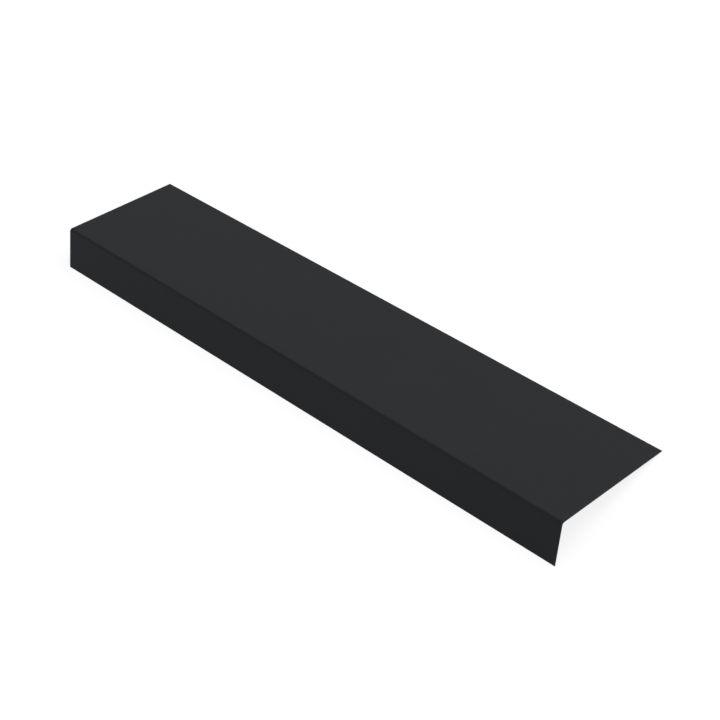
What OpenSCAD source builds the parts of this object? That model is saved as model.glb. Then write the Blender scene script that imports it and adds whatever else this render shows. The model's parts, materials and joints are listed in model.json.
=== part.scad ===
// Eaves tray: one coated steel sheet, folded once along its length.
// The plate lies up the roof under the tiles, and the lip hangs down in front of the fascia.
// It is drawn as it stands on a level floor, astride, on the free edge of its lip and of its plate.
// The origin is on the floor, below the middle of the tray. X runs along the eaves, Y up the roof.

/* [Tray] */
// Length of the tray along the eaves
tray_length = 1250; // [600:10:2400]
// Depth of the plate, from the outer corner line of the fold to its back edge
plate_depth = 255; // [150:5:400]
// Drop of the lip, from the outer corner line of the fold to its bottom edge
lip_drop = 84; // [40:2:140]
// Angle between the underside of the plate and the back of the lip
fold_angle = 97; // [92:1:140]

/* [Sheet] */
// Thickness of the coated sheet
sheet_thickness = 0.7; // [0.5:0.1:2]
// Radius on the inside of the fold
fold_radius = 5; // [1:0.5:12]

/* [Hidden] */
$fn = 180;
coating_colour = "#323335";

outer_radius = fold_radius + sheet_thickness;
turn_angle = 180 - fold_angle;
// How far each flat begins from the outer corner line, where the plate's top face would meet the
// lip's front face if the fold were sharp
setback = outer_radius * tan(turn_angle / 2);
plate_flat = plate_depth - setback;
lip_flat = lip_drop - setback;

// Points of the section while the plate is level, from the outer corner line as [0, 0].
// Of a cut edge's two corners, the tip is on the outer face and the foot on the inner one.
fold_axis = [setback, -outer_radius];
lip_tip = lip_drop * [cos(fold_angle), -sin(fold_angle)];
lip_foot = lip_tip + sheet_thickness * [sin(fold_angle), cos(fold_angle)];
plate_tip = [plate_depth, 0];
plate_foot = [plate_depth, -sheet_thickness];

// The tray leans back until both feet are on the floor
rest_tilt = atan2(plate_foot.y - lip_foot.y, plate_foot.x - lip_foot.x);

// Where a point of the section goes when the tray leans back
function leaned(point) = [
    point.x * cos(rest_tilt) + point.y * sin(rest_tilt),
    point.y * cos(rest_tilt) - point.x * sin(rest_tilt)
];

middle = (leaned(lip_tip).x + leaned(plate_tip).x) / 2;
floor_level = leaned(plate_foot).y;

// A quarter of the ring about the fold's axis, which a flat runs on into
module quarter_ring() {
    intersection() {
        difference() {
            circle(r = outer_radius);
            circle(r = fold_radius);
        }
        translate([-outer_radius, 0])
            square(outer_radius);
    }
}

// A flat and its half of the fold, about the fold's axis, cut off on the line that halves the fold
module half_section(flat_depth) {
    difference() {
        rotate(-turn_angle / 2) {
            translate([0, fold_radius])
                square([flat_depth, sheet_thickness]);
            quarter_ring();
        }
        translate([-outer_radius, -outer_radius])
            square([outer_radius, 2 * outer_radius]);
    }
}

// The plate falls away to the right of the fold's axis, and the lip to the left
module sheet_section() {
    half_section(plate_flat);
    mirror([1, 0])
        half_section(lip_flat);
}

module folded_tray() {
    color(coating_colour)
        translate([-tray_length / 2, leaned(fold_axis).x - middle, leaned(fold_axis).y - floor_level])
            rotate([turn_angle / 2 - rest_tilt, 0, 0])
                rotate([90, 0, 90])
                    linear_extrude(height = tray_length)
                        sheet_section();
}

folded_tray();
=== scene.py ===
import json
import math

import bpy
import numpy as np
from mathutils import Matrix, Vector


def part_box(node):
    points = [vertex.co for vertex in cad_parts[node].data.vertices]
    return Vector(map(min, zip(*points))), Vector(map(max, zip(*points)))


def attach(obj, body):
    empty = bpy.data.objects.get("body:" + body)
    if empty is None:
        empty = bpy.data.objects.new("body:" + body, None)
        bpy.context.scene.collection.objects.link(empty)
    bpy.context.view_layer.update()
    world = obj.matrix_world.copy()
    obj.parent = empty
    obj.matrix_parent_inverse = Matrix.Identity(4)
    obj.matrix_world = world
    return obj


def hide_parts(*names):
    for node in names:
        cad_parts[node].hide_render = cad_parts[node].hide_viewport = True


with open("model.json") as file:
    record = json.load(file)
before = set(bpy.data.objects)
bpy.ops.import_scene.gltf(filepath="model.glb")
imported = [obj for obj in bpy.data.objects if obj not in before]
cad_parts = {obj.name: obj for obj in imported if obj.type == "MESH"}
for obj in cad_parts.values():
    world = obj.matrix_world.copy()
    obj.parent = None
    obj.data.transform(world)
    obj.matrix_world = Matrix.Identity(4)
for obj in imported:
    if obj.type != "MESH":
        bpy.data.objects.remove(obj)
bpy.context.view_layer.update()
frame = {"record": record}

# Where the sheet lies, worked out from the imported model: its box and the three flat faces it is used by.
mounts = {m["name"]: m for m in frame["record"]["mounts"]}


def faceOf(name):
    # a flat face of the tray: a point on it and the direction it faces
    return np.array(mounts[name]["pos_m"]), np.array(mounts[name]["axis"])


def alongSection(normal):
    # the outer normal turned a quarter round X: the way from the plate's back edge to the lip's bottom edge
    return np.array([0.0, -normal[2], normal[1]])


trayLow, trayHigh = (np.array(corner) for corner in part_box("folded_tray"))
topPoint, topNormal = faceOf("underlay_lap")
underPoint, underNormal = faceOf("rafter_seat")
backPoint, backNormal = faceOf("fascia_face")
thickness = float((underPoint - topPoint) @ underNormal)
lipNormal = -backNormal
lipPoint = backPoint + thickness * lipNormal
plateRun, lipRun = alongSection(topNormal), alongSection(lipNormal)

sheet = dict(
    insideRadius=0.005,      # of the fold
    foldSteps=28,            # facets round the fold
    plateSteps=16,
    lipSteps=8,
    lengthSteps=120,
    guard=0.0004,            # a row this close to every edge keeps the flats shading flat
    # the sheared edge, as (how far in from the cut, how deep below the coated face) in mm: the coat rolls
    # over, then comes the smooth part of the cut, then the torn part, which leans in
    shearedEdge=[(0.16, 0.0), (0.10, 0.014), (0.05, 0.045), (0.015, 0.10), (0.0, 0.17),
                 (0.0, 0.31), (0.012, 0.45), (0.028, 0.60), (0.05, 0.67), (0.10, 0.70)],
    coatEndsAt=4,            # index in shearedEdge where the top coat stops
    backCoatStartsAt=8,      # and where the back coat starts
    creaseAngle=50,          # in degrees: faces that meet more sharply than this shade as a crease
    # thin sheet is never dead flat: waves of the flats, each as (height in metres, how many of them in the
    # length, how many over the plate's depth, where the first one starts in radians)
    waves=[(0.00012, 2.3, 0.4, 0.7), (0.000072, 4.9, -0.7, 2.1), (0.000048, 8.2, 0.3, 4.0)],
    lipWaves=0.35,           # the lip's share of them, as it is stiffer
    mapGap=0.004,            # on the square layout, whose side is 1: between the two faces, and round them
    mapRing=0.003,           # and the width given to each ring of the cut edge
)

length = float(trayHigh[0] - trayLow[0])
outerRadius = sheet["insideRadius"] + thickness
startAngle = math.atan2(topNormal[2], topNormal[1])
turn = math.atan2(lipNormal[2], lipNormal[1]) - startAngle
setback = outerRadius * math.tan(turn / 2)
# the line where the two outer faces would meet if the fold were sharp
cornerYZ = np.linalg.solve(np.stack([topNormal[1:], lipNormal[1:]]),
                           [topNormal @ topPoint, lipNormal @ lipPoint])
corner = np.array([0.0, *cornerYZ])
plateFlat = float((trayHigh[1] - corner[1]) / -plateRun[1]) - setback
lipFlat = float((trayLow[1] - corner[1]) / lipRun[1]) - setback
foldArc = outerRadius * turn
girth = plateFlat + foldArc + lipFlat
foldCentre = corner - plateRun * setback - topNormal * outerRadius
print(f"sheet {length:.4f} x {girth:.4f} m, {thickness * 1000:.2f} mm thick, "
      f"fold {180 - math.degrees(turn):.2f} degrees, flats {plateFlat:.4f} and {lipFlat:.4f} m")


# The bent sheet. A place on it is (x, s, depth): x along the eaves, s the way over the outer face from the
# plate's back edge round the fold to the lip's bottom edge, and depth how far under the outer face.
# The outer face is the fold's circle about its centre, plus the straight run before it or after it.
# The normal turns evenly with s through the fold and stands still on the flats.
def bentSheet(x, s, depth):
    angle = startAngle + turn * np.clip((s - plateFlat) / foldArc, 0, 1)
    normal = np.stack([np.zeros_like(angle), np.cos(angle), np.sin(angle)], -1)
    before = np.minimum(s - plateFlat, 0)[..., None] * plateRun
    after = np.maximum(s - plateFlat - foldArc, 0)[..., None] * lipRun
    depth = depth - lieOfSheet(x, s)
    outer = foldCentre + outerRadius * normal + before + after
    outer[..., 0] += x
    return outer - depth[..., None] * normal


# How far the thin flats stand out of true: a sum of long low sine waves, times a window that is nought at
# the cut edges and through the fold, where the sheet is stiff. The window is a squared half sine over each
# flat, times the root of a half sine over the length.
def lieOfSheet(x, s):
    lengthShare = np.clip(x / length + 0.5, 0, 1)
    plateShare = np.clip(s / plateFlat, 0, 1)
    lipShare = np.clip((s - plateFlat - foldArc) / lipFlat, 0, 1)
    window = np.sin(np.pi * plateShare) ** 2 + sheet["lipWaves"] * np.sin(np.pi * lipShare) ** 2
    window *= np.sqrt(np.sin(np.pi * lengthShare))
    waves = sum(height * np.sin(2 * np.pi * (along * lengthShare + over * plateShare) + start)
                for height, along, over, start in sheet["waves"])
    return window * waves


def steps(start, end, count):
    return np.linspace(start, end, count + 1)


# Places of the grid lines: evenly spaced over the plate, the fold and the lip, with a guard line beside each
# cut edge.
def gridLines():
    inset = sheet["shearedEdge"][0][0] / 1000
    guard = inset + sheet["guard"]
    half = length / 2
    x = np.concatenate([[-half + inset], steps(-half + guard, half - guard, sheet["lengthSteps"]),
                        [half - inset]])
    s = np.concatenate([[inset], steps(guard, plateFlat, sheet["plateSteps"]),
                        steps(plateFlat, plateFlat + foldArc, sheet["foldSteps"])[1:],
                        steps(plateFlat + foldArc, girth - guard, sheet["lipSteps"])[1:],
                        [girth - inset]])
    return x, s


# The sheet laid out on a square, for textures baked onto it. The inner face is a rectangle above the outer
# face's, which has the cut edge round it like a picture frame, each ring one step further out. Both
# rectangles are (x, s) scaled to fit, and x runs backwards on the outer one, which is seen from outside.
def squareLayout(shareX, shareS, border, rings):
    gap, rim = sheet["mapGap"], rings * sheet["mapRing"]
    high = (1 - 3 * gap - 2 * rim) / 2
    edge = gap + rim
    outer = np.stack([1 - edge - shareX * (1 - 2 * edge), edge + shareS * high], -1)
    inner = np.stack([gap + shareX * (1 - 2 * gap), 1 - gap - high + shareS * high], -1)
    atBorder = np.stack([shareX, shareS], -1)[border]
    outwards = (atBorder == atBorder.max(0)) * [-1, 1] + (atBorder == atBorder.min(0)) * [1, -1]
    step = np.arange(rings + 1)[:, None, None] * sheet["mapRing"]
    return outer, inner, outer[border] + step * outwards


# The rings of the cut between the two faces: the border pushed out to each ring's inset, at its depth
def cutRings(x, s, borderX, borderS):
    profile = np.array(sheet["shearedEdge"]) / 1000
    profile[:, 1] *= thickness / profile[-1, 1]
    inset, depth = profile[1:-1, :1], profile[1:-1, 1:]
    half = length / 2
    ringX = np.where(borderX == x[0], -half + inset, np.where(borderX == x[-1], half - inset, borderX))
    ringS = np.where(borderS == s[0], inset, np.where(borderS == s[-1], girth - inset, borderS))
    return ringX, ringS, np.broadcast_to(depth, ringX.shape)


def gridFaces(index):
    # the faces between the lines of a grid of point numbers, each as four corners taken round it
    return np.stack([index[:-1, :-1], index[:-1, 1:], index[1:, 1:], index[1:, :-1]], -1).reshape(-1, 4)


def closed(rings):
    # rings as the lines of a grid, joined up by their first points again at the end
    return np.concatenate([rings, rings[:, :1]], 1)


# The whole sheet as one closed surface: the outer face and the inner face are the same grid at two depths,
# and the sheared edge is a profile carried round the grid's border, ring by ring.
def foldedSheet():
    x, s = gridLines()
    gridX, gridS = np.meshgrid(x, s)
    faceX, faceS = gridX.ravel(), gridS.ravel()
    count = len(faceX)
    index = np.arange(count).reshape(gridX.shape)
    # the border of the grid, once round
    border = np.concatenate([index[0, :-1], index[:-1, -1], index[-1, :0:-1], index[:0:-1, 0]])
    ringX, ringS, ringDepth = cutRings(x, s, faceX[border], faceS[border])

    allX = np.concatenate([faceX, faceX, ringX.ravel()])
    allS = np.concatenate([faceS, faceS, ringS.ravel()])
    allDepth = np.concatenate([np.zeros(count), np.full(count, thickness), ringDepth.ravel()])

    # the outer face is turned about, so that every face looks outwards
    innerFaces = gridFaces(index)
    outerFaces = innerFaces[:, [0, 3, 2, 1]]
    rings = np.vstack([border, np.arange(ringX.size).reshape(ringX.shape) + 2 * count, border + count])
    edgeFaces = gridFaces(closed(rings))
    ring = np.repeat(np.arange(len(rings) - 1), len(border))
    edgeSlots = np.where(ring < sheet["coatEndsAt"], 0, np.where(ring < sheet["backCoatStartsAt"], 2, 1))

    # where each corner of each face lies on the square
    outer, inner, rim = squareLayout((faceX + length / 2) / length, faceS / girth, border, len(rings) - 1)
    rimFaces = gridFaces(closed(np.arange(rings.size).reshape(rings.shape)))
    square = np.concatenate([outer[outerFaces], inner[innerFaces], rim.reshape(-1, 2)[rimFaces]])

    return dict(
        points=bentSheet(allX, allS, allDepth),
        faces=np.concatenate([outerFaces, innerFaces + count, edgeFaces]),
        slots=np.concatenate([np.full(len(outerFaces), 0), np.full(len(innerFaces), 1), edgeSlots]),
        places=np.stack([allX + length / 2, allS], -1),
        square=square,
        depths=allDepth / thickness,
    )


def meshPiece(name, shape, materials):
    mesh = bpy.data.meshes.new(name)
    mesh.from_pydata(shape["points"].tolist(), [], shape["faces"].tolist())
    for material in materials:
        mesh.materials.append(material)
    mesh.polygons.foreach_set("material_index", shape["slots"].astype(np.int32))
    # the flat sheet laid out in metres, for the patterns that follow it
    layout = mesh.uv_layers.new(name="sheetMap")
    places = shape["places"][shape["faces"].ravel()]
    layout.data.foreach_set("uv", places.astype(np.float32).ravel())
    # and laid out on a square, under the name of the map that the export bakes onto
    baked = mesh.uv_layers.new(name="OFBake")
    baked.data.foreach_set("uv", shape["square"].astype(np.float32).ravel())
    depthShare = mesh.attributes.new("depthShare", "FLOAT", "POINT")
    depthShare.data.foreach_set("value", shape["depths"].astype(np.float32))
    mesh.shade_smooth()
    mesh.set_sharp_from_angle(angle=math.radians(sheet["creaseAngle"]))
    mesh.update()
    piece = bpy.data.objects.new(name, mesh)
    bpy.context.scene.collection.objects.link(piece)
    return piece


# Node helpers. A node's inputs are given by name, or by number as i0, i1 and so on.
def addNode(tree, kind, settings=None, **inputs):
    node = tree.nodes.new(kind)
    for key, value in (settings or {}).items():
        setattr(node, key, value)
    for key, value in inputs.items():
        socket = node.inputs[int(key[1:])] if key[0] == "i" and key[1:].isdigit() else node.inputs[key]
        setInput(tree, socket, value)
    return node


def setInput(tree, socket, value):
    if isinstance(value, bpy.types.NodeSocket):
        tree.links.new(value, socket)
    else:
        socket.default_value = value


def maths(tree, operation, a, b=0.0):
    return addNode(tree, "ShaderNodeMath", dict(operation=operation), i0=a, i1=b).outputs[0]


def smoothRange(tree, value, fromMin, fromMax, toMin=0.0, toMax=1.0):
    node = addNode(tree, "ShaderNodeMapRange", dict(interpolation_type="SMOOTHSTEP"),
                   i0=value, i1=fromMin, i2=fromMax, i3=toMin, i4=toMax)
    return node.outputs[0]


def between(tree, share, low, high):
    # low where the share is 0, high where it is 1
    return addNode(tree, "ShaderNodeMapRange", None, i0=share, i3=low, i4=high).outputs[0]


def weighted(tree, start, effects, weights):
    # the start value plus each effect times its weight
    total = start
    for name, weight in weights.items():
        total = addNode(tree, "ShaderNodeMath", dict(operation="MULTIPLY_ADD"),
                        i0=effects[name], i1=weight, i2=total).outputs[0]
    return total


def blended(tree, share, first, second):
    # two colours mixed: the node's colour sockets come after those for numbers and vectors
    node = addNode(tree, "ShaderNodeMix", dict(data_type="RGBA"), i0=share, i6=first, i7=second)
    return node.outputs[2]


def cloud(tree, place, size, detail, roughness, flat=False):
    # noise about nought, in lumps of the given size
    dimensions = "2D" if flat else "3D"
    noise = addNode(tree, "ShaderNodeTexNoise", dict(noise_dimensions=dimensions), Vector=place,
                    Scale=maths(tree, "DIVIDE", 1.0, size), Detail=detail, Roughness=roughness)
    return maths(tree, "SUBTRACT", noise.outputs["Fac"], 0.5)


def sheetPlace(tree):
    return addNode(tree, "ShaderNodeUVMap", dict(uv_map="sheetMap")).outputs[0]


def squeezed(tree, place, alongSize, acrossSize):
    # the layout scaled so that the lumps of a noise of size 1 come out this long and this wide
    scale = addNode(tree, "ShaderNodeCombineXYZ", None, X=maths(tree, "DIVIDE", 1.0, alongSize),
                    Y=maths(tree, "DIVIDE", 1.0, acrossSize), Z=0.0).outputs[0]
    return addNode(tree, "ShaderNodeVectorMath", dict(operation="MULTIPLY"), i0=place, i1=scale).outputs[0]


def newGroup(name, inputs, outputs):
    # inputs with their usual values, or None for a place; outputs are numbers
    tree = bpy.data.node_groups.new(name, "ShaderNodeTree")
    for title, default in inputs.items():
        kind = "NodeSocketVector" if default is None else "NodeSocketFloat"
        socket = tree.interface.new_socket(title, in_out="INPUT", socket_type=kind)
        if default is not None:
            socket.default_value = default
    for title in outputs:
        tree.interface.new_socket(title, in_out="OUTPUT", socket_type="NodeSocketFloat")
    return tree, tree.nodes.new("NodeGroupInput").outputs, tree.nodes.new("NodeGroupOutput").inputs


def placeGroup(tree, group, **values):
    node = tree.nodes.new("ShaderNodeGroup")
    node.node_tree = group
    for title, value in values.items():
        setInput(tree, node.inputs[title], value)
    return node.outputs


# The skin of a rolled-on coating or of cut metal: fine grain, the soft dimples called orange peel, and slow
# mottle. Sizes are in metres.
def skinGroup():
    tree, given, out = newGroup("skin", dict(place=None, grainSize=0.0004, peelSize=0.004, mottleSize=0.12),
                                ["grain", "peel", "mottle"])
    place = given["place"]
    setInput(tree, out["grain"], cloud(tree, place, given["grainSize"], detail=2.0, roughness=0.6))
    setInput(tree, out["peel"], cloud(tree, place, given["peelSize"], detail=1.0, roughness=0.4))
    setInput(tree, out["mottle"], cloud(tree, place, given["mottleSize"], detail=3.0, roughness=0.55))
    return tree


# Faint streaks that the coating rollers leave, running up the roof, across the tray
def streaksGroup():
    tree, given, out = newGroup("rollerStreaks", dict(spacing=0.006, reach=0.4), ["streak"])
    lines = squeezed(tree, sheetPlace(tree), given["spacing"], given["reach"])
    setInput(tree, out["streak"], cloud(tree, lines, 1.0, detail=2.0, roughness=0.5, flat=True))
    return tree


wearAndShade = dict(
    foldStrainAndShadeReach=0.65,                      # how far the fold's strain and its painted shade reach, as a share of its arc
    crackLength=0.011,                   # in metres, as the other sizes here are
    crackWidth=0.0002,
    crackRange=(0.0, 0.25),              # where in the noise a crack begins, and where it is full
    chipSize=0.0004,                     # of the ragged line that the shears leave in the coat
    chipRange=(-0.1, 0.15),
    biteSize=0.006,                      # and of the longer bites in it
    biteRange=(-0.05, 0.2),
    leastChip=0.3,                       # the ragged line's depth between bites, as a share of the reach
    chipFade=0.7,                        # the share of its own depth at which a chip begins to fade
)


# Where the sheet was worked: strained in the fold, cracked there, and chipped along the cut, with the fold's
# band also used to paint shade along the bend. All run from 0 to 1.
def wearAndShadeGroup():
    tree, given, out = newGroup("wearAndShade", dict(chipReach=0.0005), ["fold", "crack", "chip"])
    layout = sheetPlace(tree)
    place = addNode(tree, "ShaderNodeSeparateXYZ", None, Vector=layout).outputs
    # the fold's band: real strain for the roughness and cracks, painted shade for the colour
    fromFold = maths(tree, "ABSOLUTE", maths(tree, "SUBTRACT", place["Y"], plateFlat + foldArc / 2))
    fold = smoothRange(tree, fromFold, 0.0, foldArc * wearAndShade["foldStrainAndShadeReach"], 1.0, 0.0)
    setInput(tree, out["fold"], fold)

    # hair cracks, long along the fold and very narrow across it
    lines = squeezed(tree, layout, wearAndShade["crackLength"], wearAndShade["crackWidth"])
    cracks = smoothRange(tree, cloud(tree, lines, 1.0, detail=2.0, roughness=0.6, flat=True),
                         *wearAndShade["crackRange"])
    setInput(tree, out["crack"], maths(tree, "MULTIPLY", cracks, fold))

    fromEnds = maths(tree, "MINIMUM", place["X"], maths(tree, "SUBTRACT", length, place["X"]))
    fromSides = maths(tree, "MINIMUM", place["Y"], maths(tree, "SUBTRACT", girth, place["Y"]))
    fromEdge = maths(tree, "MINIMUM", fromEnds, fromSides)
    ragged = smoothRange(tree, cloud(tree, layout, wearAndShade["chipSize"], detail=4.0, roughness=0.65, flat=True),
                         *wearAndShade["chipRange"])
    bites = smoothRange(tree, cloud(tree, layout, wearAndShade["biteSize"], detail=4.0, roughness=0.65, flat=True),
                        *wearAndShade["biteRange"])
    depth = between(tree, maths(tree, "MULTIPLY", ragged, bites), wearAndShade["leastChip"], 1 + wearAndShade["leastChip"])
    reach = maths(tree, "MULTIPLY", given["chipReach"], depth)
    inner = maths(tree, "MULTIPLY", reach, wearAndShade["chipFade"])
    setInput(tree, out["chip"], smoothRange(tree, fromEdge, inner, reach, 1.0, 0.0))
    return tree


groups = dict(skin=skinGroup(), streaks=streaksGroup(), wearAndShade=wearAndShadeGroup())


def newMaterial(name):
    material = bpy.data.materials.new(name)
    material.use_nodes = True
    return material, material.node_tree, material.node_tree.nodes["Principled BSDF"].inputs


def skinOf(tree, finish):
    place = tree.nodes.new("ShaderNodeTexCoord").outputs["Object"]
    return dict(placeGroup(tree, groups["skin"], place=place, **finish["skin"]).items())


# The finish's effects on its shader: they shift the colour by shares, and raise the roughness and the
# relief, which is in metres. Gives the shifted colour.
def finishSurface(tree, surface, finish, effects, colour):
    toned = addNode(tree, "ShaderNodeVectorMath", dict(operation="SCALE"), i0=colour,
                    Scale=weighted(tree, 1.0, effects, finish["tone"])).outputs[0]
    setInput(tree, surface["Roughness"], weighted(tree, finish["roughness"], effects, finish["rough"]))
    relief = addNode(tree, "ShaderNodeBump", None, Strength=1.0, Distance=1.0,
                     Height=weighted(tree, 0.0, effects, finish["relief"]))
    setInput(tree, surface["Normal"], relief.outputs[0])
    return toned


# In each finish below, tone says by what share an effect shifts the colour, rough what it adds to the
# roughness, and relief what it adds to the height, in metres.

# Satin anthracite polyester on the outer side, which stretched where it was folded, with painted shade
# darkening it along the fold
topCoat = dict(
    colour=(0.0254, 0.0264, 0.0287),
    under=(0.105, 0.105, 0.100),         # primer, where the coat is chipped
    bare=0.7,                            # how much of it shows there
    shine=0.025,                         # low, because the coat is nearly matt
    roughness=0.5,
    skin=dict(grainSize=0.0004, peelSize=0.004, mottleSize=0.12),
    streaks=dict(spacing=0.006, reach=0.4),
    chipReach=0.0005,
    # fold in tone is painted shade, a dark band along the bend; fold in rough is the coat's real strain
    tone=dict(mottle=0.10, streak=0.03, grain=0.5, fold=-0.27, crack=-0.20),
    rough=dict(mottle=0.10, streak=0.06, grain=0.25, fold=0.06, chip=0.12),
    relief=dict(grain=0.00004, peel=0.00002, crack=-0.00001),
)

# Thinner backing coat on the inner side, duller and a shade greyer
backCoat = dict(
    colour=(0.036, 0.037, 0.039),
    under=(0.13, 0.135, 0.14),           # zinc
    bare=0.5,
    shine=0.025,
    roughness=0.58,
    skin=dict(grainSize=0.0006, peelSize=0.006, mottleSize=0.07),
    streaks=dict(spacing=0.004, reach=0.25),
    chipReach=0.0003,
    # fold in tone is painted shade, darker in the crease inside the bend
    tone=dict(mottle=0.18, streak=0.12, grain=0.25, fold=-0.08),
    rough=dict(streak=0.14, grain=0.2),
    relief=dict(grain=0.00005, peel=0.00002),
)


def coatMaterial(name, finish):
    material, tree, surface = newMaterial(name)
    effects = skinOf(tree, finish)
    effects.update(placeGroup(tree, groups["streaks"], **finish["streaks"]).items())
    effects.update(placeGroup(tree, groups["wearAndShade"], chipReach=finish["chipReach"]).items())
    coat = finishSurface(tree, surface, finish, effects, finish["colour"])
    bare = maths(tree, "MULTIPLY", effects["chip"], finish["bare"])
    setInput(tree, surface["Base Color"], blended(tree, bare, coat, (*finish["under"], 1)))
    surface["Specular IOR Level"].default_value = finish["shine"]
    return material


cutEdge = dict(
    zinc=(0.13, 0.135, 0.14),            # smooth part of the cut, with zinc dragged over it
    steel=(0.060, 0.062, 0.064),         # torn part of the cut
    metal=0.6,
    roughness=0.5,
    tears=(0.42, 0.58),                  # shares of the thickness between which the smooth part turns torn
    wander=0.35,                         # how far that line strays
    skin=dict(grainSize=0.00015, peelSize=0.0012, mottleSize=0.02),
    tone=dict(grain=0.5),
    rough=dict(torn=0.22),
    relief=dict(grain=0.000012, peel=0.00001),
)


# Bare cut through the sheet: a smooth band under the coat, then the torn, darker steel
def cutEdgeMaterial():
    material, tree, surface = newMaterial("cutEdge")
    effects = skinOf(tree, cutEdge)
    depth = addNode(tree, "ShaderNodeAttribute", dict(attribute_name="depthShare")).outputs["Fac"]
    wandering = weighted(tree, depth, effects, dict(mottle=cutEdge["wander"]))
    effects["torn"] = smoothRange(tree, wandering, *cutEdge["tears"])
    metal = blended(tree, effects["torn"], (*cutEdge["zinc"], 1), (*cutEdge["steel"], 1))
    setInput(tree, surface["Base Color"], finishSurface(tree, surface, cutEdge, effects, metal))
    surface["Metallic"].default_value = cutEdge["metal"]
    return material


materials = [coatMaterial("topCoat", topCoat), coatMaterial("backCoat", backCoat), cutEdgeMaterial()]
tray = meshPiece("foldedSheet", foldedSheet(), materials)
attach(tray, "root")
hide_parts("folded_tray")
print(f"tray made: {len(tray.data.polygons)} faces, {len(materials)} finishes")

# The photograph looks at a level tray as an isometric drawing does, so the view is set out on the plate:
# turned from the eaves, and raised above the plate's own face. Lengths are in metres but for the lens.
camera = dict(
    turn=math.radians(45),
    rise=math.asin(1 / math.sqrt(3)),
    lens=85.48,              # in millimetres, as the sensor is
    sensor=36.0,
    farthest=50.0,           # how far it sees
    distance=2.9995,
    aimAlong=0.0945,         # the point it looks at: right of the tray's middle
    aimUp=0.0875,            # and this far up the plate from the corner line
)


def addCamera():
    eaves = np.array([1.0, 0.0, 0.0])
    aim = corner + camera["aimAlong"] * eaves - camera["aimUp"] * plateRun
    level = math.sin(camera["turn"]) * eaves + math.cos(camera["turn"]) * plateRun
    back = math.cos(camera["rise"]) * level + math.sin(camera["rise"]) * topNormal
    right = np.cross(topNormal, back)
    right /= np.linalg.norm(right)
    up = np.cross(back, right)
    data = bpy.data.cameras.new("camera")
    data.lens = camera["lens"]
    data.sensor_width = camera["sensor"]
    data.clip_end = camera["farthest"]
    eye = bpy.data.objects.new("camera", data)
    turned = Matrix(np.stack([right, up, back], -1).tolist()).to_4x4()
    eye.matrix_world = Matrix.Translation(Vector(aim + camera["distance"] * back)) @ turned
    bpy.context.scene.collection.objects.link(eye)
    bpy.context.scene.camera = eye


studio = dict(
    floorSize=40.0,
    floorRoughness=0.9,
    floorTone=0.70,          # what the floor gives back to the object
    shownTone=0.18,          # the camera sees less of the floor's own tone, so that its shadow stays light,
    shownGlow=0.855,         # and a glow that brings it to white
    farGlow=0.97,            # more glow where the lamps no longer reach
    glowRange=(0.9, 3.0),    # how far out it begins to rise, and ends
    mirrorGlow=0.20,         # glow seen in reflections
    skyLight=0.498,          # what the sky gives to the object: it is shown at 1
    # lamps, with sizes in metres and power in watts: one high up behind, one low in front on the left
    key=dict(place=(1.2, 1.5, 3.4), size=2.4, power=77.4),
    side=dict(place=(-2.2, -2.0, 1.2), size=1.2, power=9.1),
)


def seenDirectly(tree):
    # 1 for rays from the camera, and another 1 for mirror and glass rays
    path = tree.nodes.new("ShaderNodeLightPath").outputs
    return path["Is Camera Ray"], maths(tree, "MAXIMUM", path["Is Glossy Ray"], path["Is Transmission Ray"])


def addFloor():
    half = studio["floorSize"] / 2
    mesh = bpy.data.meshes.new("floor")
    mesh.from_pydata([(-half, -half, 0), (half, -half, 0), (half, half, 0), (-half, half, 0)], [],
                     [(0, 1, 2, 3)])
    material, tree, surface = newMaterial("floor")
    surface["Roughness"].default_value = studio["floorRoughness"]
    surface["Specular IOR Level"].default_value = 0.0
    toCamera, toMirror = seenDirectly(tree)
    setInput(tree, surface["Base Color"], between(tree, toCamera, studio["floorTone"], studio["shownTone"]))
    place = tree.nodes.new("ShaderNodeTexCoord").outputs["Object"]
    away = addNode(tree, "ShaderNodeVectorMath", dict(operation="LENGTH"), i0=place).outputs["Value"]
    shown = smoothRange(tree, away, *studio["glowRange"], studio["shownGlow"], studio["farGlow"])
    glow = weighted(tree, maths(tree, "MULTIPLY", toCamera, shown), dict(mirror=toMirror),
                    dict(mirror=studio["mirrorGlow"]))
    surface["Emission Color"].default_value = (1, 1, 1, 1)
    setInput(tree, surface["Emission Strength"], glow)
    # seen from below, the floor isn't there, so that the underside can be looked at
    clear = tree.nodes.new("ShaderNodeBsdfTransparent").outputs[0]
    below = tree.nodes.new("ShaderNodeNewGeometry").outputs["Backfacing"]
    either = addNode(tree, "ShaderNodeMixShader", None, i0=below,
                     i1=tree.nodes["Principled BSDF"].outputs[0], i2=clear)
    setInput(tree, tree.nodes["Material Output"].inputs["Surface"], either.outputs[0])
    mesh.materials.append(material)
    floor = bpy.data.objects.new("floor", mesh)
    bpy.context.scene.collection.objects.link(floor)


def addSky():
    world = bpy.data.worlds.new("sky")
    world.use_nodes = True
    tree = world.node_tree
    background = tree.nodes["Background"]
    toCamera, toMirror = seenDirectly(tree)
    shown = maths(tree, "MAXIMUM", toCamera, toMirror)
    background.inputs["Color"].default_value = (1, 1, 1, 1)
    setInput(tree, background.inputs["Strength"], between(tree, shown, studio["skyLight"], 1.0))
    bpy.context.scene.world = world


def addLamp(name, place, size, power):
    data = bpy.data.lights.new(name, "AREA")
    data.shape = "DISK"
    data.size = size
    data.energy = power
    lamp = bpy.data.objects.new(name, data)
    lamp.location = place
    lamp.visible_camera = False
    # aimed at the origin
    lamp.rotation_euler = (-Vector(place)).to_track_quat("-Z", "Y").to_euler()
    bpy.context.scene.collection.objects.link(lamp)


addCamera()
addFloor()
addSky()
addLamp("key", **studio["key"])
addLamp("side", **studio["side"])
bpy.context.scene.view_settings.view_transform = "Standard"
print("studio ready")
